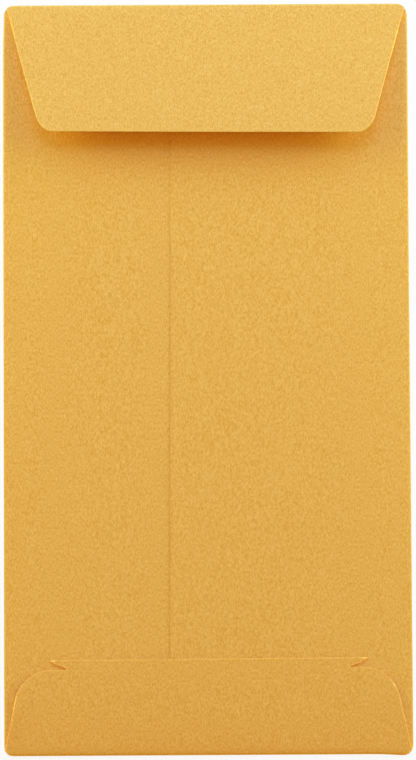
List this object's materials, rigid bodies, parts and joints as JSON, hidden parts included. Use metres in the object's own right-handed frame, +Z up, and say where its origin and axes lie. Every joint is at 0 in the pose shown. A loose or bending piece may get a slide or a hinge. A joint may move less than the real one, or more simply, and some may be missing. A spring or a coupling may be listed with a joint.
{
  "type": "paper envelope",
  "caption": "Open-end kraft paper envelope lying flat, with an off-centre seam, a square top flap that stands open and a glued bottom flap with a nicked tab.",
  "frame": {"origin": "centre of the plain face on the surface that the envelope lies on", "axes": "+Y along the envelope's length, from the glued bottom fold to the mouth and the top flap; +Z up, out of the seam side; +X across, to the right of the seam when the flap is at the top"},
  "size_m": [0.0888, 0.165, 0.0048],
  "materials": {
    "kraft_paper": "uncoated golden kraft paper, matt, with fine mottled fibres"
  },
  "bodies": {
    "root": {"envelope": "kraft_paper"}
  },
  "joints": []
}
